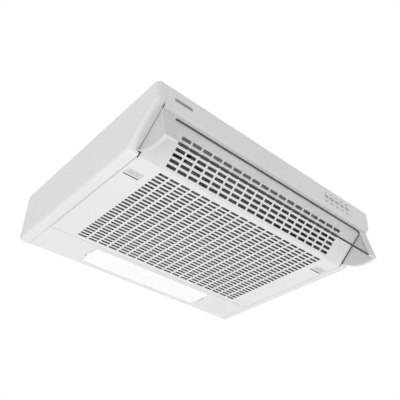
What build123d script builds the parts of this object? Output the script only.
from build123d import *
import os
from math import atan2, cos, degrees, hypot, radians, sin

# Visor cooker hood, 600 mm wide, hung under a wall cupboard with a duct leaving through its top.
# +X is to the right seen from the front, the front faces -Y, and +Z is up. The origin is the centre
# of the four cupboard screw holes, on the outside of the top. Millimetres.

# ---- whole hood ----
WIDTH = 600.0
DEPTH = 463.0
HEIGHT = 110.0
SHEET = 1.2  # painted steel of the shell
MOULDING = 2.0  # moulded plastic parts
GRILLE_SHEET = 1.0  # punched sheet of the two grilles
GAP = 0.3  # clearance between bodies that pass each other

# ---- side view: fascia, slope and underside ----
SLOPE_RUN = 76.4  # the slope's lower edge, behind the front face
SLOPE_RATE = 0.932  # rise of the slope for each millimetre of run
FRONT_BEND = 14.0  # radius of the two bends of the end caps
EDGE_ROUND = 9.0  # radius of the outer edges of the end caps
CAP_FRONT_WIDTH = 18.5  # width of an end cap's rim on the front and the slope
CAP_BASE_WIDTH = 22.0  # width of an end cap's rim on the underside
SLOT_END = 71.5  # the cheek slot's rear end, behind the front face
FASCIA_LIP = 58.0  # height of the fascia's lower lip above the underside
FASCIA_ROUND = 8.0
FASCIA_SHEET = 2.2
LIP_END = 14.0  # how far the lip runs back from the front face
PANEL_HALF = 277.0  # half width of the hinged grille
SLOPE_HALF = 274.8  # half width of the slope grille

# ---- slots ----
COLUMNS = 18
COLUMN_PITCH = 24.85
SLOT_LONG = 20.8
SLOT_HIGH = 6.3
SLOT_CORNER = 1.5
FIELD_MARGIN = 1.2  # plain metal round the outermost slots of a field
BASE_ROWS = 27
BASE_ROW_PITCH = 10.34
BASE_ROW_FIRST = 88.8  # first row of the underside, behind the front face
SLOPE_ROWS = 6
SLOPE_ROW_PITCH = 10.8
SLOPE_ROW_FIRST = 11.3  # first row of the slope, measured up it from its lower edge

# ---- hinged grille ----
GRILLE_FRONT = 80.0
GRILLE_AXIS_BEHIND = 371.3
GRILLE_AXIS_ABOVE = 3.2
GRILLE_PIN_RADIUS = 1.5
RUNNING_GAP = 0.05
FILTER_HALF = 233.0
FILTER_FRONT, FILTER_REAR = 82.5, 364.5
FILTER_LOW, FILTER_HIGH = 1.2, 9.2
LATCH_X = 254.0
LATCH_FRONT = 110.4
LATCH_WIDTH, LATCH_LENGTH = 32.0, 15.0
LATCH_TRAVEL = 4.0

# ---- visor ----
VISOR_AXIS_BEHIND = 16.0
VISOR_AXIS_ABOVE = 62.5
PLATE_OFFSET = 8.0  # from the hinge axis to the middle of the plate
PLATE_TOP, PLATE_FREE = 12.0, 81.0  # along the plate, from the foot of the axis
PLATE_THICK = 3.0
PLATE_HALF = 257.5
OPEN_ANGLE = 12.3  # forward of straight down, as it hangs open
CHEEK_NEAR, CHEEK_FAR = 277.8, 280.6
CHEEK_RADIUS = 77.5
CHEEK_RIM = 2.2  # thickness of the rim round the cheek's arc
RAIL_END = 285.0  # outer end of the rails and of the cheeks' rims
RAIL_TOP, RAIL_FREE = 10.0, 77.5  # along the plate, as above
TONGUE_FREE = 73.0  # lower end of the plate's tongues
VISOR_PIN_RADIUS = 2.0
CHEEK_BACK_ANGLE = 55.0  # rear edge of a cheek, behind straight down

# ---- duct collar and flaps ----
COLLAR_Y = 65.0
COLLAR_RADIUS = 59.6
COLLAR_WALL = 2.0
COLLAR_HIGH = 35.0
COLLAR_LOW = -6.0
FLANGE_RADIUS = 73.0
FLAP_AXIS_Z = 7.0
FLAP_PIN_RADIUS = 1.5
FLAP_RADIUS = 56.6
FLAP_THICK = 1.2

# ---- fan ----
FAN_X, FAN_Y = -118.0, -4.0
SCROLL_STEP = 16.0  # growth of the scroll's radius each quarter turn
SCROLL_RADIUS = 92.0  # first quarter
SCROLL_LOW, SCROLL_HIGH = -86.0, -6.0
DUCT_END = 70.0
DUCT_LOW_Y = 2.0
SCREW_BOSS = 4.5
INLET_RADIUS = 62.0
IMPELLER_RADIUS = 76.0
BLADE_INNER = 61.0
BLADE_COUNT = 32
BLADE_THICK = 1.2
BLADE_LEAN = 38.0
IMPELLER_LOW, IMPELLER_HIGH = -80.0, -28.0
MOTOR_RADIUS = 36.0
MOTOR_LOW, MOTOR_HIGH = -88.0, -46.0
SHAFT_RADIUS = 3.0

# ---- lamp ----
DIFFUSER_HALF = 160.0
DIFFUSER_FRONT, DIFFUSER_REAR = 382.0, 447.0
LAMP_BEHIND = 414.5
LAMP_ABOVE = 29.0
TAB_HALF = 8.0
TAB_REACH = 4.0

# ---- controls ----
BUTTON_PITCH = 17.5
BUTTON_MIDDLE = 181.0
BUTTON_ABOVE = 86.0
BUTTON_WIDE, BUTTON_HIGH = 11.0, 7.0
BUTTON_TRAVEL = 2.5
BUTTON_NAMES = ("button_off", "button_low", "button_medium", "button_high", "button_lamp")

# ---- cupboard screws, mains inlet ----
SCREW_SPACING_X, SCREW_SPACING_Y = 460.0, 300.0
CUPBOARD_HOLE_RADIUS = 2.75
INLET_X, INLET_Y = 200.0, 181.0
GLAND_RADIUS = 7.0
MAINS_RADIUS = 3.6

# ---- worked out ----
HALF = WIDTH / 2
FRONT, REAR = -DEPTH / 2, DEPTH / 2
TOP, BASE = 0.0, -HEIGHT
CAP_FRONT_EDGE = HALF - CAP_FRONT_WIDTH
CAP_BASE_EDGE = HALF - CAP_BASE_WIDTH
INNER_HALF = HALF - SHEET - 0.1  # half width between the end caps
SLOPE_ANGLE = degrees(atan2(SLOPE_RATE, 1))
SLOPE_OUT = Vector(0, -sin(radians(SLOPE_ANGLE)), -cos(radians(SLOPE_ANGLE)))
CLOSE_SWING = OPEN_ANGLE + 90 - SLOPE_ANGLE

LOW = (Align.CENTER, Align.CENTER, Align.MIN)


def behind(distance):
    """Y of a point this far behind the front face."""
    return FRONT + distance


def above(height):
    """Z of a point this high above the underside."""
    return BASE + height


def block(x, y, z):
    """A box between (low, high) limits along each axis."""
    size = Box(x[1] - x[0], y[1] - y[0], z[1] - z[0])
    return Pos((x[0] + x[1]) / 2, (y[0] + y[1]) / 2, (z[0] + z[1]) / 2) * size


def rod(radius, start, end):
    """A cylinder from one point to another."""
    run = Vector(*end) - Vector(*start)
    return Plane(origin=start, z_dir=run) * Cylinder(radius, run.length, align=LOW)


def tube(outer, inner, start, end):
    return rod(outer, start, end) - rod(inner, start, end)


def side_face(points):
    """A face in the side view, from points given as (behind, above)."""
    corners = [(behind(y), above(z)) for y, z in points]
    return make_face(Polyline(*corners, close=True))


def across(face, low, high):
    """A side view face drawn out along X between two limits."""
    return extrude(Plane.YZ.offset(low) * face, amount=high - low)


def mirrored(shape):
    return mirror(shape, about=Plane.YZ)


def slope_height(run):
    """Height of the slope above the underside at this distance behind the front."""
    return (SLOPE_RUN - run) * SLOPE_RATE


def slope_plane():
    """Origin at the slope's lower edge, X along it, Y up it, Z outwards."""
    return Plane(origin=(0, behind(SLOPE_RUN), BASE), x_dir=(1, 0, 0), z_dir=SLOPE_OUT)


def slot_field(rows, pitch, first):
    """Limits of a slotted field with a margin round it, as (half width, low, high)."""
    half = (COLUMNS - 1) * COLUMN_PITCH / 2 + SLOT_LONG / 2 + FIELD_MARGIN
    reach = SLOT_HIGH / 2 + FIELD_MARGIN
    return half, first - reach, first + (rows - 1) * pitch + reach


def slotted_field(rows, pitch, first, thick):
    """The slotted part of a grille as a flat sheet, its slots left open in its outline."""
    half, low, high = slot_field(rows, pitch, first)
    slot = RectangleRounded(SLOT_LONG, SLOT_HIGH, SLOT_CORNER)
    middle = (low + high) / 2
    places = GridLocations(COLUMN_PITCH, pitch, COLUMNS, rows)
    holes = [(Pos(0, middle) * place * slot).face().outer_wire() for place in places]
    outline = (Pos(0, middle) * Rectangle(2 * half, high - low)).face().outer_wire()
    return extrude(Face(outline, holes), amount=thick)


# ---------------------------------------------------------------- shell


def cap_outline(margin):
    """Side view of an end cap; the margin pushes its top and rear outwards."""
    corner = slope_height(0)
    outline = side_face(
        [
            (0, HEIGHT + margin),
            (0, corner),
            (SLOPE_RUN, 0),
            (DEPTH + margin, 0),
            (DEPTH + margin, HEIGHT + margin),
        ]
    )
    bends = [v for v in outline.vertices() if v.Y < above(corner + 1) and v.X < behind(SLOPE_RUN + 1)]
    return fillet(bends, FRONT_BEND)


def rounded_prism(face, low, high, radius):
    """A side view face drawn out to the right, with its lower and front outer edges rounded."""
    solid = across(face, low, high)
    outer = solid.edges().filter_by(lambda e: e.bounding_box().min.X > high - 0.01)
    limits = face.bounding_box()
    rim = [
        e
        for e in outer
        if e.center().Z < limits.max.Y - 1 and e.center().Y < limits.max.X - 1
    ]
    return fillet(rim, radius)


def end_cap():
    """Right end cap: pressed side wall with a rounded rim on the front, slope and underside."""
    outside = rounded_prism(cap_outline(0), CAP_BASE_EDGE, HALF, EDGE_ROUND)
    room = offset(cap_outline(20), amount=-SHEET)
    inside = rounded_prism(room, CAP_BASE_EDGE - 5, HALF - SHEET, EDGE_ROUND - SHEET)
    slot = block((CAP_BASE_EDGE - 1, CAP_FRONT_EDGE), (FRONT - 1, behind(SLOT_END)), (BASE - 1, 1))
    return outside - inside - slot - cheek_rim_notch()


def cheek_rim_notch():
    """The ring round the visor's axis that the rim of a cheek passes through."""
    y, z = behind(VISOR_AXIS_BEHIND), above(VISOR_AXIS_ABOVE)
    radii = (CHEEK_RADIUS + 0.5, CHEEK_RADIUS - CHEEK_RIM - 0.5)
    return tube(*radii, (CAP_BASE_EDGE - 1, y, z), (RAIL_END + 0.5, y, z))


def top_panel():
    """Top sheet with its turned down front and side flanges and every hole in it."""
    flange = 14.0
    flange_y = behind(FASCIA_SHEET + 0.2)
    panel = block((-INNER_HALF, INNER_HALF), (behind(10), REAR), (TOP - SHEET, TOP))
    panel += block((-290, 290), (flange_y, behind(10)), (TOP - SHEET, TOP))
    panel += block((-285, 285), (flange_y, flange_y + SHEET), (TOP - flange, TOP - SHEET))
    side = block((INNER_HALF - SHEET, INNER_HALF), (behind(12), behind(450)), (TOP - flange, TOP - SHEET))
    panel += [side, mirrored(side)]
    panel -= rod(COLLAR_RADIUS + 0.4, (0, COLLAR_Y, -5), (0, COLLAR_Y, 5))
    panel -= rod(GLAND_RADIUS + 0.1, (INLET_X, INLET_Y, -5), (INLET_X, INLET_Y, 5))
    holes = GridLocations(SCREW_SPACING_X, SCREW_SPACING_Y, 2, 2) * Cylinder(CUPBOARD_HOLE_RADIUS, 10)
    panel -= holes
    panel -= [rod(1.5, (x, y, -5), (x, y, 5)) for x, y in collar_screw_places()]
    return panel


def rear_panel():
    """Rear sheet, narrower at its foot, where the end caps' lower edges are rounded."""
    y = (REAR - SHEET, REAR)
    panel = block((-INNER_HALF, INNER_HALF), y, (above(10), TOP - SHEET))
    return panel + block((-290, 290), y, (above(SHEET + 0.1), above(10)))


def fascia():
    """Front strip: flat face, rounded lower edge and a lip that meets the slope."""
    half = CAP_FRONT_EDGE - 0.2
    strip = block((-half, half), (FRONT, behind(FASCIA_SHEET)), (above(FASCIA_LIP + FASCIA_ROUND), TOP))
    lip_half = SLOPE_HALF + 1
    bend_y, bend_z = FASCIA_ROUND, FASCIA_LIP + FASCIA_ROUND
    start, end = (-half, behind(bend_y), above(bend_z)), (half, behind(bend_y), above(bend_z))
    bend = tube(FASCIA_ROUND, FASCIA_ROUND - FASCIA_SHEET, start, end)
    bend -= block((-HALF, HALF), (behind(bend_y), behind(30)), (BASE, TOP))
    bend -= block((-HALF, HALF), (FRONT - 1, behind(30)), (above(bend_z), TOP))
    lip_z = (above(FASCIA_LIP), above(FASCIA_LIP + FASCIA_SHEET))
    lip = block((-lip_half, lip_half), (behind(bend_y), behind(LIP_END)), lip_z)
    strip = strip + bend + lip
    wide, high = bezel_opening()
    hole = Pos(BUTTON_MIDDLE, FRONT, above(BUTTON_ABOVE)) * Box(wide, 12, high)
    return strip - hole


def slope_grille():
    """Fixed intake grille on the slope: punched sheet, a short foot below and two side walls."""
    top = FASCIA_LIP - 0.2
    outer_line = [(SLOPE_RUN - top / SLOPE_RATE, top), (SLOPE_RUN, 0)]
    inner_foot = (slope_y(GRILLE_SHEET, GRILLE_SHEET), GRILLE_SHEET)
    inner_line = [inner_foot, (slope_y(GRILLE_SHEET, top), top)]
    foot = [(GRILLE_FRONT - GAP, 0), (GRILLE_FRONT - GAP, GRILLE_SHEET)]
    face = side_face(outer_line + foot + inner_line)
    corner = [v for v in face.vertices() if abs(v.X - behind(SLOPE_RUN)) < 0.01]
    face = fillet(corner, 5)
    panel = across(face, -SLOPE_HALF, SLOPE_HALF)
    rows = (SLOPE_ROWS, SLOPE_ROW_PITCH, SLOPE_ROW_FIRST)
    field_half, field_low, field_high = slot_field(*rows)
    window = block((-field_half, field_half), (field_low, field_high), (-5, 5))
    panel -= slope_plane() * window
    wall_rear = GRILLE_FRONT - 2 * GAP
    wall_line = [(slope_y(14, 68), 68), (slope_y(0.5, 68), 68), (slope_y(0.5, 4), 4)]
    wall_face = side_face(wall_line + [(wall_rear, 4), (wall_rear, 16)])
    wall = across(wall_face, SLOPE_HALF - SHEET, SLOPE_HALF)
    wall -= visor_axis_rod(VISOR_PIN_RADIUS, SLOPE_HALF - 5, SLOPE_HALF + 5)
    field = slope_plane() * Pos(0, 0, -GRILLE_SHEET) * slotted_field(*rows, GRILLE_SHEET)
    return (panel + [wall, mirrored(wall)]).fuse(field)


def slope_y(depth, height):
    """Distance behind the front of a point this deep behind the slope, at this height."""
    return SLOPE_RUN - height / SLOPE_RATE + depth / sin(radians(SLOPE_ANGLE))


def visor_axis_rod(radius, low, high):
    y, z = behind(VISOR_AXIS_BEHIND), above(VISOR_AXIS_ABOVE)
    return rod(radius, (low, y, z), (high, y, z))


def lamp_panel():
    """Rear strip of the underside with the lamp opening and two finger notches."""
    front_edge = GRILLE_AXIS_BEHIND + GRILLE_AXIS_ABOVE + 0.6
    profile = side_face(
        [
            (front_edge, 0),
            (DEPTH - SHEET - 0.1, 0),
            (DEPTH - SHEET - 0.1, SHEET),
            (front_edge + SHEET, SHEET),
            (front_edge + SHEET, 12),
            (front_edge, 12),
        ]
    )
    bend = [v for v in profile.vertices() if v.X < behind(front_edge + 0.1) and v.Y < above(0.1)]
    profile = fillet(bend, 2.0)
    half = CAP_BASE_EDGE - 0.4
    panel = across(profile, -half, half)
    opening = DIFFUSER_HALF + 0.8
    opening_y = (behind(DIFFUSER_FRONT - 0.8), behind(DIFFUSER_REAR + 0.8))
    panel -= block((-opening, opening), opening_y, (BASE - 5, BASE + 5))
    notch = opening + TAB_REACH + 1
    tab_y = (behind(LAMP_BEHIND - TAB_HALF - 2), behind(LAMP_BEHIND + TAB_HALF + 2))
    panel -= block((-notch, notch), tab_y, (BASE - 5, BASE + 5))
    return panel


# ---------------------------------------------------------------- duct collar


def collar_screw_places():
    radius = (COLLAR_RADIUS + FLANGE_RADIUS) / 2
    angles = [radians(45 + 90 * n) for n in range(4)]
    return [(radius * cos(a), COLLAR_Y + radius * sin(a)) for a in angles]


def flap_pin():
    reach = COLLAR_RADIUS - COLLAR_WALL + 1
    return rod(FLAP_PIN_RADIUS, (0, COLLAR_Y - reach, FLAP_AXIS_Z), (0, COLLAR_Y + reach, FLAP_AXIS_Z))


def exhaust_collar():
    """Round collar with a flange on the top panel and an inner ledge the flaps rest on."""
    bore = COLLAR_RADIUS - COLLAR_WALL
    collar = tube(COLLAR_RADIUS, bore, (0, COLLAR_Y, COLLAR_LOW), (0, COLLAR_Y, COLLAR_HIGH))
    collar += tube(FLANGE_RADIUS, bore, (0, COLLAR_Y, TOP), (0, COLLAR_Y, TOP + MOULDING))
    collar += tube(bore + 0.5, bore - 3.5, (0, COLLAR_Y, FLAP_AXIS_Z - 3), (0, COLLAR_Y, FLAP_AXIS_Z - 1))
    collar -= flap_pin()
    collar -= [rod(1.5, (x, y, -1), (x, y, 5)) for x, y in collar_screw_places()]
    return collar


def flap(side):
    """One half of the non-return flap; side is 1 for the right half and -1 for the left."""
    half = FLAP_THICK / 2
    plate = rod(FLAP_RADIUS, (0, COLLAR_Y, FLAP_AXIS_Z - half), (0, COLLAR_Y, FLAP_AXIS_Z + half))
    edge = FLAP_PIN_RADIUS + 2.0
    keep_x = (edge, HALF) if side > 0 else (-HALF, -edge)
    plate &= block(keep_x, (COLLAR_Y - 100, COLLAR_Y + 100), (-5, 20))
    shape = plate
    for n in range(2):
        low = COLLAR_Y - 48 + 48 * n + (24 if side > 0 else 0)
        reach_x = (0, edge + 2) if side > 0 else (-edge - 2, 0)
        web = block(reach_x, (low, low + 22), (FLAP_AXIS_Z - half, FLAP_AXIS_Z + half))
        knuckle = rod(2.8, (0, low, FLAP_AXIS_Z), (0, low + 22, FLAP_AXIS_Z))
        shape += [web, knuckle]
    bore = FLAP_PIN_RADIUS + RUNNING_GAP
    return shape - rod(bore, (0, COLLAR_Y - 70, FLAP_AXIS_Z), (0, COLLAR_Y + 70, FLAP_AXIS_Z))


# ---------------------------------------------------------------- fan


def scroll_face(inset):
    """Outline of the fan scroll seen from above: three quarter arcs that grow, then a straight duct."""
    quarters = zip(scroll_quarters(), (0, -90, 180))
    arcs = [CenterArc(centre, radius - inset, start, -90) for (centre, radius), start in quarters]
    first, second, third = arcs
    top = third @ 1
    tongue = first @ 0
    duct = [
        top,
        (DUCT_END - inset, top.Y),
        (DUCT_END - inset, DUCT_LOW_Y + inset),
        (tongue.X, DUCT_LOW_Y + inset),
        tongue,
    ]
    return make_face([first, second, third, Polyline(*duct)])


def fan_lug_places():
    return [(FAN_X - 8, -115.0), (-245.0, 4.0), (60.0, -9.0), (60.0, 139.0)]


def scroll_quarters():
    """Centre and outer radius of the scroll's three quarter arcs."""
    step = SCROLL_STEP / 2
    centres = [(FAN_X - step, FAN_Y - step), (FAN_X - step, FAN_Y + step), (FAN_X + step, FAN_Y + step)]
    return [(centre, SCROLL_RADIUS + SCROLL_STEP * n) for n, centre in enumerate(centres)]


def cover_screw_places():
    """Six screws just outside the scroll's wall: one on each quarter and three on the duct."""
    reach = 2.5
    places = []
    for (centre, radius), angle in zip(scroll_quarters(), (-45, -135, 135)):
        a = radians(angle)
        places.append((centre[0] + (radius + reach) * cos(a), centre[1] + (radius + reach) * sin(a)))
    (_, middle), radius = scroll_quarters()[2]
    duct_x = DUCT_END / 4
    places += [(duct_x, DUCT_LOW_Y - reach), (duct_x, middle + radius + reach)]
    return places + [(DUCT_END + reach, COLLAR_Y)]


def scroll_housing():
    """Upper half of the fan scroll, open below, with the outlet under the collar and four lugs."""
    high = SCROLL_HIGH - SCROLL_LOW - MOULDING
    outer = extrude(Pos(0, 0, SCROLL_LOW + MOULDING) * scroll_face(0), amount=high)
    inner = extrude(Pos(0, 0, SCROLL_LOW) * scroll_face(MOULDING), amount=high)
    shell = outer - inner
    shell -= rod(COLLAR_RADIUS - COLLAR_WALL, (0, COLLAR_Y, SCROLL_LOW + 20), (0, COLLAR_Y, 0))
    lug_z = (-12.0, -9.0)
    for x, y in fan_lug_places():
        lug = block((x - 9, x + 9), (y - 9, y + 9), lug_z)
        toward_x = 11 if x < -200 else 0
        toward_y = 11 if y < 0 and x > -200 else (-11 if y > 100 else 0)
        lug += Pos(toward_x, toward_y, 0) * block((x - 9, x + 9), (y - 9, y + 9), lug_z)
        lug -= inner
        shell += lug
        shell -= rod(2.1, (x, y, -20), (x, y, 0))
    for x, y in cover_screw_places():
        boss = rod(SCREW_BOSS, (x, y, SCROLL_LOW + MOULDING), (x, y, SCROLL_LOW + 16)) - inner
        shell += boss
        shell -= rod(1.5, (x, y, SCROLL_LOW), (x, y, SCROLL_LOW + 13))
    return shell


def scroll_cover():
    """Flat lower cover of the scroll with the fan's inlet."""
    cover = extrude(Pos(0, 0, SCROLL_LOW) * scroll_face(0), amount=MOULDING)
    ear_high = SCROLL_LOW + MOULDING
    cover += [rod(SCREW_BOSS, (x, y, SCROLL_LOW), (x, y, ear_high)) for x, y in cover_screw_places()]
    cover -= rod(INLET_RADIUS + MOULDING, (FAN_X, FAN_Y, -100), (FAN_X, FAN_Y, -60))
    places = cover_screw_places() + motor_screw_places()
    cover -= [rod(1.5, (x, y, -100), (x, y, -80)) for x, y in places]
    return cover


def inlet_ring():
    """Bell mouth of the fan inlet."""
    ring = tube(INLET_RADIUS + MOULDING, INLET_RADIUS, (FAN_X, FAN_Y, -88), (FAN_X, FAN_Y, -82))
    ring += tube(IMPELLER_RADIUS, INLET_RADIUS, (FAN_X, FAN_Y, -88), (FAN_X, FAN_Y, SCROLL_LOW))
    mouth = [e for e in ring.edges().filter_by(GeomType.CIRCLE) if abs(e.radius - INLET_RADIUS) < 0.01]
    ring = fillet([e for e in mouth if e.center().Z < -87], 1.5)
    return ring - [rod(1.5, (x, y, -100), (x, y, -80)) for x, y in motor_screw_places()]


def motor_screw_places():
    angles = [radians(90 + 120 * n) for n in range(3)]
    return [(FAN_X + 70 * cos(a), FAN_Y + 70 * sin(a)) for a in angles]


def motor_bracket():
    """Three armed spider across the inlet that carries the motor."""
    plate = rod(30, (FAN_X, FAN_Y, -90), (FAN_X, FAN_Y, -88))
    for n in range(3):
        arm = Pos(38, 0, -89) * Box(76, 12, 2)
        plate += Pos(FAN_X, FAN_Y, 0) * (Rot(0, 0, 90 + 120 * n) * arm)
    plate -= rod(10, (FAN_X, FAN_Y, -95), (FAN_X, FAN_Y, -80))
    return plate - [rod(1.5, (x, y, -100), (x, y, -80)) for x, y in motor_screw_places()]


def on_fan(outer, inner, low, high):
    """A ring on the fan's axis."""
    return tube(outer, inner, (FAN_X, FAN_Y, low), (FAN_X, FAN_Y, high))


def motor_case():
    """Motor can with a bearing boss at each end and cooling slots in its wall."""
    wall = 2.0
    running = SHAFT_RADIUS + RUNNING_GAP
    case = on_fan(MOTOR_RADIUS, MOTOR_RADIUS - wall, MOTOR_LOW, MOTOR_HIGH)
    case += on_fan(MOTOR_RADIUS, running, MOTOR_HIGH - wall, MOTOR_HIGH)
    case += on_fan(MOTOR_RADIUS, running, MOTOR_LOW, MOTOR_LOW + wall)
    case += on_fan(9, running, MOTOR_HIGH - 6, MOTOR_HIGH + 3)
    case += on_fan(7, running, MOTOR_LOW, MOTOR_LOW + 6)
    slot = Pos(MOTOR_RADIUS, 0, (MOTOR_LOW + MOTOR_HIGH) / 2) * Box(8, 4, 24)
    case -= [Pos(FAN_X, FAN_Y, 0) * (Rot(0, 0, 30 * n) * slot) for n in range(12)]
    return case


def motor_stator():
    """Stator laminations with winding bulges above and below."""
    core = on_fan(33.9, 20.0, -78, -58)
    return core + on_fan(31, 22, -81.5, -54.5)


def motor_rotor():
    return on_fan(19.5, SHAFT_RADIUS, -79, -57)


def motor_shaft():
    return rod(SHAFT_RADIUS, (FAN_X, FAN_Y, MOTOR_LOW + 0.5), (FAN_X, FAN_Y, -20))


def impeller():
    """Fan wheel: back disc with a hub, leaning blades and a lower ring."""
    wheel = on_fan(IMPELLER_RADIUS, SHAFT_RADIUS, IMPELLER_HIGH - 2, IMPELLER_HIGH)
    wheel += on_fan(9, SHAFT_RADIUS, -40, IMPELLER_HIGH)
    wheel += on_fan(IMPELLER_RADIUS + 1, BLADE_INNER, IMPELLER_LOW, IMPELLER_LOW + 2)
    length = (IMPELLER_RADIUS - BLADE_INNER) / cos(radians(BLADE_LEAN)) - 2.5
    high = IMPELLER_HIGH - IMPELLER_LOW - 2
    middle = (IMPELLER_RADIUS + BLADE_INNER) / 2
    blade = Rot(0, 0, BLADE_LEAN) * Box(length, BLADE_THICK, high)
    blade = Pos(middle, 0, (IMPELLER_LOW + IMPELLER_HIGH) / 2) * blade
    turn = 360 / BLADE_COUNT
    return wheel + [Pos(FAN_X, FAN_Y, 0) * (Rot(0, 0, turn * n) * blade) for n in range(BLADE_COUNT)]


def impeller_nut():
    nut = extrude(Pos(FAN_X, FAN_Y, IMPELLER_HIGH) * RegularPolygon(6.5, 6), amount=5)
    return nut - rod(SHAFT_RADIUS, (FAN_X, FAN_Y, -40), (FAN_X, FAN_Y, -10))


def screw(radius, head_radius, seat, direction, length):
    """A pan head screw: its seat point, the way its shank points, and the shank's length."""
    way = Vector(*direction)
    point = Vector(*seat)
    shank = rod(radius, tuple(point), tuple(point + way * length))
    head = rod(head_radius, tuple(point - way * head_radius * 0.6), tuple(point))
    outer = [e for e in head.edges().filter_by(GeomType.CIRCLE) if (e.arc_center - point).length > 0.1]
    head = fillet(outer, head_radius * 0.3)
    recess_end = tuple(point - way * head_radius * 0.25)
    recess = rod(head_radius * 0.35, tuple(point - way * head_radius), recess_end)
    return head + shank - recess


def fan_mounts():
    """Rubber pads between the scroll's lugs and the top panel."""
    return [tube(7, 2.1, (x, y, -9), (x, y, TOP - SHEET)) for x, y in fan_lug_places()]


def fan_screws():
    return [screw(2, 4, (x, y, -12), (0, 0, 1), 10) for x, y in fan_lug_places()]


def cover_screws():
    return [screw(1.5, 3, (x, y, SCROLL_LOW), (0, 0, 1), 13) for x, y in cover_screw_places()]


def motor_screws():
    return [screw(1.5, 3, (x, y, -90), (0, 0, 1), 8) for x, y in motor_screw_places()]


def collar_screws():
    return [screw(1.5, 3, (x, y, TOP + MOULDING), (0, 0, -1), 6) for x, y in collar_screw_places()]


# ---------------------------------------------------------------- electrics


def capacitor():
    body = rod(14, (150, 60, TOP - SHEET - 15), (205, 60, TOP - SHEET - 15))
    return body + block((160, 195), (50, 70), (TOP - SHEET - 15, TOP - SHEET))


def terminal_box():
    """Junction box under the top panel, open below."""
    x, y = (INLET_X - 35, INLET_X + 35), (INLET_Y - 33, INLET_Y + 33)
    low, high = -42.0, TOP - SHEET
    box = block(x, y, (low, high))
    box -= block((x[0] + 2, x[1] - 2), (y[0] + 2, y[1] - 2), (low - 1, high - 2))
    return box - rod(GLAND_RADIUS + 0.1, (INLET_X, INLET_Y, -30), (INLET_X, INLET_Y, 5))


def terminal_lid():
    lid = block((INLET_X - 35, INLET_X + 35), (INLET_Y - 33, INLET_Y + 33), (-44, -42))
    return lid + block((INLET_X - 30, INLET_X + 30), (INLET_Y + 30, INLET_Y + 31), (-42, -38))


def terminal_block():
    body = block((INLET_X - 26, INLET_X + 4), (INLET_Y - 26, INLET_Y - 12), (-20, TOP - SHEET - 2))
    for n in range(3):
        x = INLET_X - 21 + 10 * n
        body -= rod(2, (x, INLET_Y - 30, -12), (x, INLET_Y - 8, -12))
        body -= rod(2.2, (x, INLET_Y - 19, -25), (x, INLET_Y - 19, -12))
    return body


def cable_gland():
    """Clamp gland for the mains lead, through the top panel and the junction box."""
    gland = rod(GLAND_RADIUS, (INLET_X, INLET_Y, -12), (INLET_X, INLET_Y, 6))
    gland += rod(11, (INLET_X, INLET_Y, TOP), (INLET_X, INLET_Y, TOP + 2.5))
    return gland - rod(MAINS_RADIUS, (INLET_X, INLET_Y, -20), (INLET_X, INLET_Y, 20))


def button_x(number):
    """X of a button counted from the left."""
    return BUTTON_MIDDLE + (number - 2) * BUTTON_PITCH


def bezel_opening():
    """Width and height of the fascia's opening for the buttons."""
    return 4 * BUTTON_PITCH + BUTTON_WIDE + 9, BUTTON_HIGH + 8


def button(number):
    """One push button: a domed cap, a wider foot behind the bezel and a stem into the switch."""
    x, z = button_x(number), above(BUTTON_ABOVE)
    face = RectangleRounded(BUTTON_WIDE, BUTTON_HIGH, 2)
    cap = extrude(Plane.XZ.offset(-FRONT + 2.0) * Pos(x, z) * face, amount=-7.5)
    front_edges = cap.faces().sort_by(Axis.Y)[0].edges()
    cap = fillet(front_edges, 0.8)
    foot = block((x - 7, x + 7), (behind(4.5), behind(5.7)), (z - 5, z + 5))
    stem = block((x - 2.5, x + 2.5), (behind(5.5), behind(16)), (z - 2, z + 2))
    return cap + foot + stem


def switch_bezel():
    """Trim frame around the buttons, clipped into the fascia."""
    wide, high = bezel_opening()
    z = above(BUTTON_ABOVE)
    face = RectangleRounded(wide + 5, high + 4, 3)
    frame = extrude(Plane.XZ.offset(-FRONT) * Pos(BUTTON_MIDDLE, z) * face, amount=0.8)
    body = Pos(BUTTON_MIDDLE, behind(1.6), z) * Box(wide - 0.2, 3.2, high - 0.2)
    frame += body
    frame -= Pos(BUTTON_MIDDLE, behind(3.2), z) * Box(wide - 3, 2.4, high - 3)
    for n in range(len(BUTTON_NAMES)):
        hole = RectangleRounded(BUTTON_WIDE + 2 * GAP, BUTTON_HIGH + 2 * GAP, 2.2)
        frame -= extrude(Plane.XZ.offset(-FRONT - 6) * Pos(button_x(n), z) * hole, amount=12)
    return frame


def switch_body():
    """Switch housing behind the fascia with a pocket for each button's stem."""
    half = 2 * BUTTON_PITCH + 12
    z = above(BUTTON_ABOVE)
    right = BUTTON_MIDDLE + half
    body = block((BUTTON_MIDDLE - half, right), (behind(9.5), behind(32)), (z - 10, z + 10))
    ear = block((right, right + 8), (behind(FASCIA_SHEET), behind(12)), (z - 8, z + 8))
    body += [ear, Pos(-2 * half - 8, 0, 0) * ear]
    for n in range(len(BUTTON_NAMES)):
        x = button_x(n)
        body -= block((x - 3, x + 3), (behind(9), behind(19.5)), (z - 2.5, z + 2.5))
    return body


def lead(route, radius, bends):
    """A lead along straight runs joined by arcs."""
    path = FilletPolyline(*route, radius=bends)
    start = Plane(origin=path @ 0, z_dir=path % 0)
    return sweep(start * Circle(radius), path=path)


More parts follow.
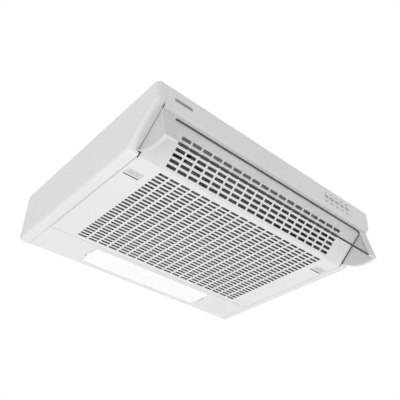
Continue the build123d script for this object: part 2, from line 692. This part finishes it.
def internal_leads():
    """Leads from the junction box to the switch, to the motor and to the lamps."""
    box_left, box_front = INLET_X - 35, INLET_Y - 33
    switch_z, under_z = above(BUTTON_ABOVE), -93.5
    to_switch = [
        (BUTTON_MIDDLE, behind(32), switch_z),
        (BUTTON_MIDDLE, -160, switch_z),
        (262, -120, switch_z),
        (262, 60, switch_z),
        (INLET_X, 110, switch_z),
        (INLET_X, box_front, switch_z),
    ]
    to_motor = [
        (box_left, INLET_Y + 12, -30),
        (110, INLET_Y + 12, -30),
        (80, 137, -34),
        (80, 137, -84),
        (60, 90, under_z),
        (-50, 5, under_z),
        (FAN_X + 5, FAN_Y, under_z),
        (FAN_X + 5, FAN_Y, MOTOR_LOW),
    ]
    lamp_x, lamp_y = 150, behind(LAMP_BEHIND)
    to_lamps = [(box_left, lamp_y, -34), (lamp_x, lamp_y, -34), (lamp_x, lamp_y, above(LAMP_ABOVE) + 13.2)]
    return [
        lead(to_switch, 3.0, [14, 14, 30, 14]),
        lead(to_motor, 2.0, [16, 14, 12, 30, 20, 4]),
        lead(to_lamps, 2.0, [6.5]),
    ]


# ---------------------------------------------------------------- lamp


def lamp_diffuser():
    """Clip-in lamp cover: a shallow tray with a tab at each end."""
    x, y = DIFFUSER_HALF, (behind(DIFFUSER_FRONT), behind(DIFFUSER_REAR))
    cover = block((-x, x), y, (BASE - 0.8, above(9)))
    cover = fillet(cover.edges().filter_by(Axis.Z), 3)
    cover = fillet(cover.faces().sort_by(Axis.Z)[0].edges(), 0.7)
    cover -= block((-x + 2, x - 2), (y[0] + 2, y[1] - 2), (above(1.2), above(20)))
    tab_y = (behind(LAMP_BEHIND - TAB_HALF), behind(LAMP_BEHIND + TAB_HALF))
    tab = block((x - 1, x + TAB_REACH), tab_y, (above(0.6), above(2.2)))
    return cover + [tab, mirrored(tab)]


def lamp_tray():
    """Reflector box over the lamps, open below."""
    x, y = DIFFUSER_HALF + 12, (behind(DIFFUSER_FRONT - 4), behind(DIFFUSER_REAR + 4))
    low, high = SHEET, 56.0
    tray = block((-x, x), y, (above(low), above(high)))
    tray -= block((-x + 1, x - 1), (y[0] + 1, y[1] - 1), (above(low - 1), above(high - 1)))
    hole = rod(3.5, (150, behind(LAMP_BEHIND), above(40)), (150, behind(LAMP_BEHIND), above(70)))
    return tray - hole


def lamp_axis_ring(outer, inner, start, end):
    y, z = behind(LAMP_BEHIND), above(LAMP_ABOVE)
    return tube(outer, inner, (start, y, z), (end, y, z))


def lamp_holders():
    x = DIFFUSER_HALF + 11
    cup = lamp_axis_ring(13, 7.1, x - 30, x - 4) + lamp_axis_ring(13, 2, x - 4, x)
    return [cup, mirrored(cup)]


def bulb_cap():
    """Screw cap of a candle lamp, with its thread as shallow ridges."""
    x = DIFFUSER_HALF + 11
    y, z = behind(LAMP_BEHIND), above(LAMP_ABOVE)
    cap = rod(6.6, (x - 5, y, z), (x - 32, y, z))
    ridges = [rod(7.0, (x - 9 - 3 * n, y, z), (x - 10.5 - 3 * n, y, z)) for n in range(5)]
    return cap + ridges


def bulb_caps():
    return [bulb_cap(), mirrored(bulb_cap())]


def bulb_glass():
    """Glass of a candle lamp, turned about its own axis."""
    start = DIFFUSER_HALF + 11 - 32
    length = 70.0
    outline = Polyline((0, 0), (6.6, 0))
    side = Spline((6.6, 0), (16, 24), (13, 46), (0, length), tangents=[(0.5, 1), (-1, 0)])
    close = Line((0, length), (0, 0))
    face = make_face([outline, side, close])
    glass = revolve(face, axis=Axis.Y)
    origin = (start, behind(LAMP_BEHIND), above(LAMP_ABOVE))
    place = Plane(origin=origin, x_dir=(0, 0, 1), z_dir=(0, -1, 0))
    return place * glass


def bulbs():
    return [bulb_glass(), mirrored(bulb_glass())]


# ---------------------------------------------------------------- hinged grille


def grille_axis_rod(radius, low, high):
    y, z = behind(GRILLE_AXIS_BEHIND), above(GRILLE_AXIS_ABOVE)
    return rod(radius, (low, y, z), (high, y, z))


def grille_panel():
    """Flat slotted panel with a rolled rear edge, three turned up edges and the latch guides."""
    half, rear = PANEL_HALF, behind(GRILLE_AXIS_BEHIND)
    front = behind(GRILLE_FRONT)
    rows = (BASE_ROWS, BASE_ROW_PITCH, behind(BASE_ROW_FIRST))
    field_half, field_low, field_high = slot_field(*rows)
    panel = block((-half, half), (front, rear), (BASE, above(GRILLE_SHEET)))
    low_edges = [e for e in panel.edges().filter_by(Axis.X) if e.center().Z < BASE + 1]
    panel = fillet([e for e in low_edges if e.center().Y < front + 1], 0.6)
    panel -= block((-field_half, field_half), (field_low, field_high), (BASE - 1, above(5)))
    side = block((half - SHEET, half), (front, behind(366)), (above(0.5), above(14)))
    panel += grille_axis_rod(GRILLE_AXIS_ABOVE, -half, half)
    panel += [side, mirrored(side), block((-half, half), (front, front + SHEET), (above(0.5), above(8)))]
    for x in (-LATCH_X, LATCH_X):
        panel += latch_guides(x)
        panel -= latch_window(x)
    bore = GRILLE_PIN_RADIUS + RUNNING_GAP
    panel -= [grille_axis_rod(bore, half - 14, half + 1), grille_axis_rod(bore, -half - 1, -half + 14)]
    panel -= [wire_rod(y, 1.3, half + 5) for y in wire_places()]
    return panel.fuse(Pos(0, 0, BASE) * slotted_field(*rows, GRILLE_SHEET))


def latch_window(x):
    """Openings in the grille for a latch: one for its thumb plate and one for its tongue."""
    half = LATCH_WIDTH / 2 + 0.5
    y = (behind(LATCH_FRONT - 0.5), behind(LATCH_FRONT + LATCH_LENGTH + LATCH_TRAVEL + 0.5))
    thumb = block((x - half, x + half), y, (BASE - 1, above(GRILLE_SHEET + 0.1)))
    tongue = block((x - 12.5, x + 12.5), (FRONT, behind(GRILLE_FRONT + 3)), (above(GRILLE_SHEET), above(5)))
    return thumb + tongue


def latch_guides(x):
    """Two rails that hold a latch down on the grille and let it slide."""
    y = (behind(LATCH_FRONT - 4), behind(LATCH_FRONT + LATCH_LENGTH + LATCH_TRAVEL + 4))
    rails = block((x - 19.2, x + 19.2), y, (above(0.5), above(6.4)))
    rails -= block((x - 17.2, x + 17.2), (y[0] - 1, y[1] + 1), (above(GRILLE_SHEET), above(4.8)))
    return rails - block((x - 14.5, x + 14.5), (y[0] - 1, y[1] + 1), (above(3), above(8)))


def latch(x):
    """Sliding latch: a ribbed thumb plate, a base behind the panel and a tongue to the front."""
    y = (behind(LATCH_FRONT), behind(LATCH_FRONT + LATCH_LENGTH))
    half = LATCH_WIDTH / 2
    thumb = block((x - half, x + half), y, (above(0.2), above(3)))
    thumb = fillet(thumb.faces().sort_by(Axis.Z)[0].edges(), 0.6)
    for n in range(3):
        groove = y[0] + 4 + 3.5 * n
        thumb -= block((x - half + 4, x + half - 4), (groove - 0.6, groove + 0.6), (BASE, above(0.9)))
    base_z = (above(GRILLE_SHEET + GAP), above(4.5))
    base = block((x - 16.8, x + 16.8), (y[0] - 6, y[1] + 3), base_z)
    tongue_y = (behind(GRILLE_FRONT - 2.6), y[0])
    tongue = block((x - 12, x + 12), tongue_y, base_z)
    return thumb + base + tongue


def filter_frame():
    """Folded edge of the grease filter cassette."""
    x, y = FILTER_HALF, (behind(FILTER_FRONT), behind(FILTER_REAR))
    z = (above(FILTER_LOW), above(FILTER_HIGH))
    frame = block((-x, x), y, z)
    rim = 4.0
    frame -= block((-x + rim, x - rim), (y[0] + rim, y[1] - rim), (z[0] - 1, z[1] + 1))
    return frame - block((-x + 1, x - 1), (y[0] + 1, y[1] - 1), (z[0] + 1, z[1] - 1))


def filter_mesh():
    """Grease filter mat inside its frame."""
    x, y = FILTER_HALF - 1.2, (behind(FILTER_FRONT + 1.2), behind(FILTER_REAR - 1.2))
    return block((-x, x), y, (above(FILTER_LOW + 1.2), above(FILTER_HIGH - 1.2)))


def wire_places():
    return (behind(150), behind(300))


def wire_rod(y, radius, half):
    z = above(FILTER_HIGH + 1.4)
    return rod(radius, (-half, y, z), (half, y, z))


def filter_wires():
    """Spring wires that hold the filter down, sprung into the grille's side edges."""
    return [wire_rod(y, 1.3, PANEL_HALF - 0.5) for y in wire_places()]


def grille_brackets():
    """Small blocks on the end caps that hold the grille's hinge pins."""
    y = (behind(GRILLE_AXIS_BEHIND - 5), behind(GRILLE_AXIS_BEHIND + 5))
    bracket = block((CAP_BASE_EDGE + 0.5, CAP_BASE_EDGE + 8), y, (above(SHEET), above(9)))
    bracket -= grille_axis_rod(GRILLE_PIN_RADIUS, CAP_BASE_EDGE - 5, HALF)
    return [bracket, mirrored(bracket)]


def grille_pins():
    pin = grille_axis_rod(GRILLE_PIN_RADIUS, PANEL_HALF - 12, CAP_BASE_EDGE + 8)
    return [pin, mirrored(pin)]


# ---------------------------------------------------------------- visor


def visor_plane():
    """Origin at the hinge axis, X along it, Y up the open plate, Z towards the front."""
    angle = radians(OPEN_ANGLE)
    out = Vector(0, -cos(angle), sin(angle))
    origin = (0, behind(VISOR_AXIS_BEHIND), above(VISOR_AXIS_ABOVE))
    return Plane(origin=origin, x_dir=(1, 0, 0), z_dir=out)


def visor_block(x, along, out):
    """A box in the visor's own plane: across, down along the plate and out from the axis."""
    return visor_plane() * block(x, (-along[1], -along[0]), out)


def visor_plate():
    """Clear plate with a thinner tongue at each end that slips behind the cheek's rail."""
    half = PLATE_THICK / 2
    out = (PLATE_OFFSET - half, PLATE_OFFSET + half)
    plate = visor_block((-PLATE_HALF, PLATE_HALF), (PLATE_TOP, PLATE_FREE), out)
    reach = PLATE_HALF + 11
    plate += visor_block((-reach, reach), (PLATE_TOP + 2, TONGUE_FREE), (out[0], PLATE_OFFSET))
    return plate - [visor_screw_rod(x, along, 1.25) for x, along in visor_screw_places()]


def visor_screw_places():
    ends = (-PLATE_HALF - 6, PLATE_HALF + 6)
    return [(x, along) for x in ends for along in (PLATE_TOP + 14, PLATE_FREE - 14)]


def visor_screw_rod(x, along, radius):
    return visor_plane() * rod(radius, (x, -along, 0), (x, -along, 20))


def visor_cheek():
    """Right cheek: a sector with a rim that fills the side gap, and a rail for the plate's end."""
    origin = (CHEEK_NEAR, behind(VISOR_AXIS_BEHIND), above(VISOR_AXIS_ABOVE))
    plane = Plane(origin=origin, x_dir=(0, 1, 0), z_dir=(1, 0, 0))
    thick = CHEEK_FAR - CHEEK_NEAR
    disc = Circle(CHEEK_RADIUS)
    front = radians(-90 - OPEN_ANGLE)
    down = Vector(cos(front), sin(front))
    shift = Vector(down.Y, -down.X) * (PLATE_OFFSET + PLATE_THICK / 2)
    reach = 200.0
    back = radians(-90 + CHEEK_BACK_ANGLE)
    wedge = Polyline(
        shift + down * PLATE_TOP,
        shift + down * reach,
        (reach * 2, -reach * 2),
        (cos(back) * reach, sin(back) * reach),
        (0, 0),
        close=True,
    )
    sector = disc & make_face(wedge)
    arc_band = sector - Circle(CHEEK_RADIUS - CHEEK_RIM)
    sector += Circle(6)
    fan = extrude(plane * sector, amount=thick)
    fan += extrude(plane * arc_band, amount=RAIL_END - CHEEK_NEAR)
    half = PLATE_THICK / 2
    rail_x = (PLATE_HALF + 0.1, RAIL_END)
    rail_out = (PLATE_OFFSET - half, PLATE_OFFSET + half)
    rail = visor_block(rail_x, (RAIL_TOP, RAIL_FREE), rail_out)
    rebate_along = (PLATE_TOP + 1.5, TONGUE_FREE + 0.5)
    rebate_out = (PLATE_OFFSET - half - 1, PLATE_OFFSET)
    rail -= visor_block((PLATE_HALF, PLATE_HALF + 11.5), rebate_along, rebate_out)
    rail += visor_block(rail_x, (RAIL_FREE - CHEEK_RIM, RAIL_FREE), (PLATE_OFFSET - 3.1, rail_out[1]))
    cheek = fan + rail
    cheek -= visor_axis_rod(VISOR_PIN_RADIUS + RUNNING_GAP, CHEEK_NEAR - 5, CHEEK_FAR + 5)
    return cheek - [visor_screw_rod(x, along, 1.25) for x, along in visor_screw_places()]


def visor_screws():
    """Countersunk screws that hold the plate's tongues to the rails, put in from behind."""
    low, high = PLATE_OFFSET - PLATE_THICK / 2, PLATE_OFFSET + PLATE_THICK / 2 - 0.4
    shapes = []
    for x, along in visor_screw_places():
        shank = rod(1.25, (x, -along, low), (x, -along, high))
        head = rod(2.3, (x, -along, low - 1.2), (x, -along, low))
        shapes.append(visor_plane() * (shank + head))
    return shapes


def visor_brackets():
    """Brackets inside the end caps that hold the outer ends of the visor's pins."""
    plate = side_face(
        [(slope_y(1.7, 54), 54), (slope_y(14, 54), 54), (30, 80), (9, 80), (9, 74), (slope_y(1.7, 66), 66)]
    )
    bracket = across(plate, CAP_FRONT_EDGE + 0.6, CAP_FRONT_EDGE + 3.6)
    foot_x = (CAP_FRONT_EDGE + 0.6, HALF - SHEET)
    bracket += block(foot_x, (behind(12), behind(26)), (above(77), above(80)))
    bracket -= visor_axis_rod(VISOR_PIN_RADIUS, CAP_FRONT_EDGE - 5, HALF)
    return [bracket, mirrored(bracket)]


def visor_pins():
    pin = visor_axis_rod(VISOR_PIN_RADIUS, SLOPE_HALF - SHEET, CAP_FRONT_EDGE + 4.5)
    return [pin, mirrored(pin)]


# ---------------------------------------------------------------- all the nodes


def nodes():
    """Every node by its name; a list is a group of separate solids."""
    right_cap, right_cheek = end_cap(), visor_cheek()
    parts = {
        "top_panel": top_panel(),
        "rear_panel": rear_panel(),
        "end_cap_left": mirrored(right_cap),
        "end_cap_right": right_cap,
        "fascia": fascia(),
        "slope_grille": slope_grille(),
        "lamp_panel": lamp_panel(),
        "exhaust_collar": exhaust_collar(),
        "flap_pin": flap_pin(),
        "flap_left": flap(-1),
        "flap_right": flap(1),
        "scroll_housing": scroll_housing(),
        "scroll_cover": scroll_cover(),
        "inlet_ring": inlet_ring(),
        "motor_bracket": motor_bracket(),
        "motor_case": motor_case(),
        "motor_stator": motor_stator(),
        "motor_rotor": motor_rotor(),
        "motor_shaft": motor_shaft(),
        "impeller": impeller(),
        "impeller_nut": impeller_nut(),
        "fan_mounts": fan_mounts(),
        "fan_screws": fan_screws(),
        "cover_screws": cover_screws(),
        "motor_screws": motor_screws(),
        "collar_screws": collar_screws(),
        "capacitor": capacitor(),
        "terminal_box": terminal_box(),
        "terminal_lid": terminal_lid(),
        "terminal_block": terminal_block(),
        "cable_gland": cable_gland(),
        "internal_leads": internal_leads(),
        "switch_bezel": switch_bezel(),
        "switch_body": switch_body(),
        "lamp_tray": lamp_tray(),
        "lamp_diffuser": lamp_diffuser(),
        "lamp_holders": lamp_holders(),
        "bulb_caps": bulb_caps(),
        "bulb_glass": bulbs(),
        "grille_panel": grille_panel(),
        "filter_frame": filter_frame(),
        "filter_mesh": filter_mesh(),
        "filter_wires": filter_wires(),
        "grille_brackets": grille_brackets(),
        "grille_pins": grille_pins(),
        "latch_left": latch(-LATCH_X),
        "latch_right": latch(LATCH_X),
        "visor_plate": visor_plate(),
        "visor_cheek_left": mirrored(right_cheek),
        "visor_cheek_right": right_cheek,
        "visor_screws": visor_screws(),
        "visor_brackets": visor_brackets(),
        "visor_pins": visor_pins(),
    }
    for number, name in enumerate(BUTTON_NAMES):
        parts[name] = button(number)
    return parts


def write(name, shape):
    solids = []
    for piece in shape if isinstance(shape, list) else [shape]:
        solids += piece.solids()
    whole = solids[0] if len(solids) == 1 else Compound(children=solids)
    whole.label = name
    export_step(whole, f"parts/{name}.step")


os.makedirs("parts", exist_ok=True)
for node_name, node_shape in nodes().items():
    write(node_name, node_shape)
print("visor closes through", round(CLOSE_SWING, 1), "degrees")
